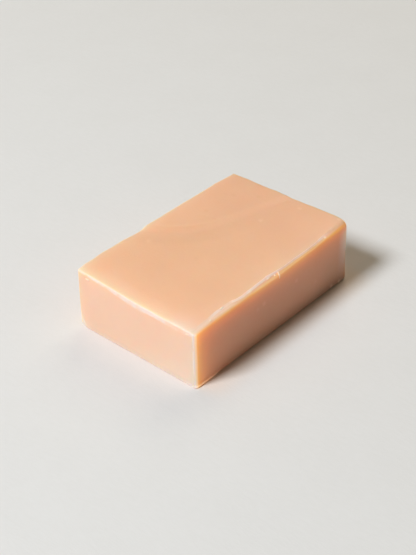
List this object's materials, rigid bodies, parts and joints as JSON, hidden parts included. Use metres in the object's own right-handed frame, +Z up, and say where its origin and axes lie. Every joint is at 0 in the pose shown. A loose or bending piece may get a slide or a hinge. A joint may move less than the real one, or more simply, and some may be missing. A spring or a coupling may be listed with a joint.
{
  "type": "bar of soap",
  "caption": "Hand-cut rectangular bar of soap with worn, bevelled edges and a slightly uneven top, lying flat.",
  "frame": {"origin": "middle of the underside, on the surface that the bar lies on", "axes": "+X along the length, +Y across the width, +Z up through the thickness"},
  "size_m": [0.081, 0.0524, 0.0241],
  "materials": {
    "soap": "soft satin, slightly translucent, with paler dried edges"
  },
  "bodies": {
    "root": {"soap_bar": "soap"}
  },
  "joints": []
}
